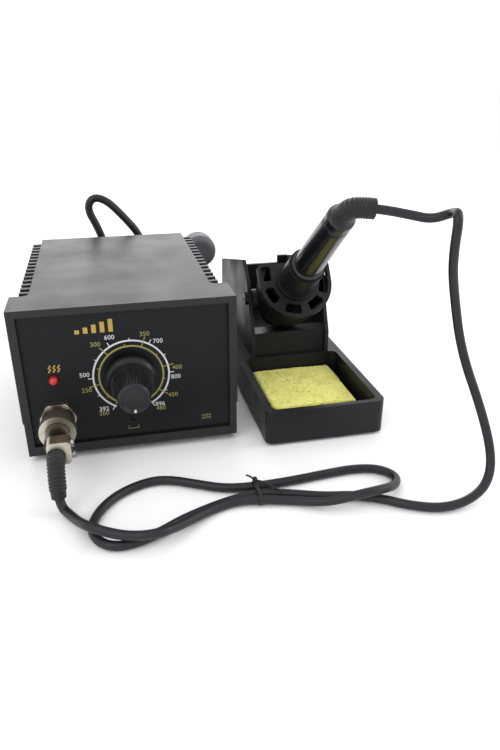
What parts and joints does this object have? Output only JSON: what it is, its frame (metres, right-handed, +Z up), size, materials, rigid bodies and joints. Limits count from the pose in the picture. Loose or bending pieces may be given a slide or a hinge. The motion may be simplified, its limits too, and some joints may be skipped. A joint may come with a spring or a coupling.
{
  "type": "soldering station",
  "caption": "Black benchtop control unit with temperature dial and cable connector, joined by a lead to a pencil iron resting in a raked stand with a sponge tray.",
  "frame": {"origin": "on the table under the middle of the footprint of the control unit and stand, leads left out", "axes": "+X to the right along the front, from the control unit to the stand; +Y into the depth, away from the user; +Z up"},
  "size_m": [0.2386, 0.3125, 0.1442],
  "materials": {
    "case_plastic": "moulded black ABS, fine texture",
    "panel_plastic": "smooth black plate",
    "rubber": "black rubber",
    "cord_rubber": "dark blue-grey rubber sheath",
    "nickel": "warm nickel plate",
    "steel": "bright steel",
    "core_steel": "laminated iron",
    "copper_winding": "taped winding",
    "board": "green epoxy board",
    "black_component": "moulded component cases",
    "aluminium": "extruded",
    "lamp_red": "clear red epoxy",
    "knob_plastic": "moulded black",
    "gloss_black": "polished black",
    "insulator": "phenolic",
    "contact_brass": "turned",
    "stand_plastic": "moulded black, satin",
    "sponge": "yellow cellulose sponge",
    "tip_copper": "iron-plated copper",
    "plug_grey": "moulded grey",
    "ceramic": "alumina",
    "glass": "clear"
  },
  "bodies": {
    "set": {"upper_case": "case_plastic", "lower_case": "case_plastic", "front_panel": "panel_plastic", "rear_panel": "panel_plastic", "rubber_feet": "rubber", "transformer_core": "core_steel", "transformer_winding": "copper_winding", "transformer_bracket": "steel", "control_board": "board", "board_parts": "black_component", "heat_sink": "aluminium", "inner_screws": "steel", "potentiometer": "steel", "potentiometer_nut": "nickel", "indicator_lamp": "lamp_red", "lamp_holder": "black_component", "trimmer_body": "black_component", "socket_shell": "nickel", "socket_insert": "insulator", "socket_pins": "contact_brass", "socket_nut": "nickel", "plug_barrel": "nickel", "cable_clamp": "nickel", "clamp_screws": "steel", "plug_relief": "cord_rubber", "switch_body": "gloss_black", "fuse_holder": "gloss_black", "fuse": "glass", "mains_gland": "rubber", "stand_base": "stand_plastic", "stand_feet": "rubber", "tower": "stand_plastic", "tower_screws": "steel", "tilt_screws": "steel", "iron_cord": "cord_rubber", "twist_tie": "rubber", "mains_cord": "cord_rubber", "mains_loop": "cord_rubber", "mains_tail": "cord_rubber", "mains_hank": "cord_rubber", "mains_plug": "plug_grey", "plug_pins": "nickel"},
    "knob": {"temperature_knob": "knob_plastic", "dial_shaft": "aluminium"},
    "trimmer": {"trimmer_rotor": "contact_brass"},
    "lock_ring": {"coupling_ring": "nickel"},
    "rocker": {"power_rocker": "gloss_black"},
    "fuse_lid": {"fuse_cap": "gloss_black"},
    "holder": {"holder_body": "stand_plastic", "holder_guard": "steel"},
    "iron": {"handle": "gloss_black", "handle_nose": "stand_plastic", "handle_cap": "gloss_black", "sleeve_nut": "nickel", "heater_sleeve": "steel", "soldering_tip": "tip_copper", "heating_element": "ceramic", "handle_relief": "rubber", "iron_cord_end": "cord_rubber"},
    "pad": {"sponge": "sponge"}
  },
  "joints": [
    {"name": "knob_turn", "type": "hinge", "parent": "set", "child": "knob", "pos_m": [-0.0437, -0.07487, 0.0475], "axis": [0, 1, 0], "range_deg": [0, 300]},
    {"name": "trimmer_turn", "type": "hinge", "parent": "set", "child": "trimmer", "pos_m": [-0.0445, -0.06187, 0.0205], "axis": [0, 1, 0], "range_deg": [-135, 135]},
    {"name": "ring_turn", "type": "hinge", "parent": "set", "child": "lock_ring", "pos_m": [-0.0848, -0.07287, 0.027], "axis": [0, 1, 0], "continuous": true},
    {"name": "rocker_tilt", "type": "hinge", "parent": "set", "child": "rocker", "pos_m": [-0.018, 0.08613, 0.06], "axis": [1, 0, 0], "range_deg": [0, 20]},
    {"name": "fuse_cap_turn", "type": "hinge", "parent": "set", "child": "fuse_lid", "pos_m": [-0.046, 0.08813, 0.06], "axis": [0, 1, 0], "range_deg": [0, 90]},
    {"name": "holder_tilt", "type": "hinge", "parent": "set", "child": "holder", "pos_m": [0.06725, 0.01486, 0.06064], "axis": [-1, 0, 0], "range_deg": [0, 15]},
    {"name": "iron_lift", "type": "slide", "parent": "holder", "child": "iron", "axis": [0, -0.7986, 0.6018], "range_m": [0, 0.125]},
    {"name": "sponge_lift", "type": "slide", "parent": "set", "child": "pad", "axis": [0, 0, 1], "range_m": [0, 0.03]}
  ]
}
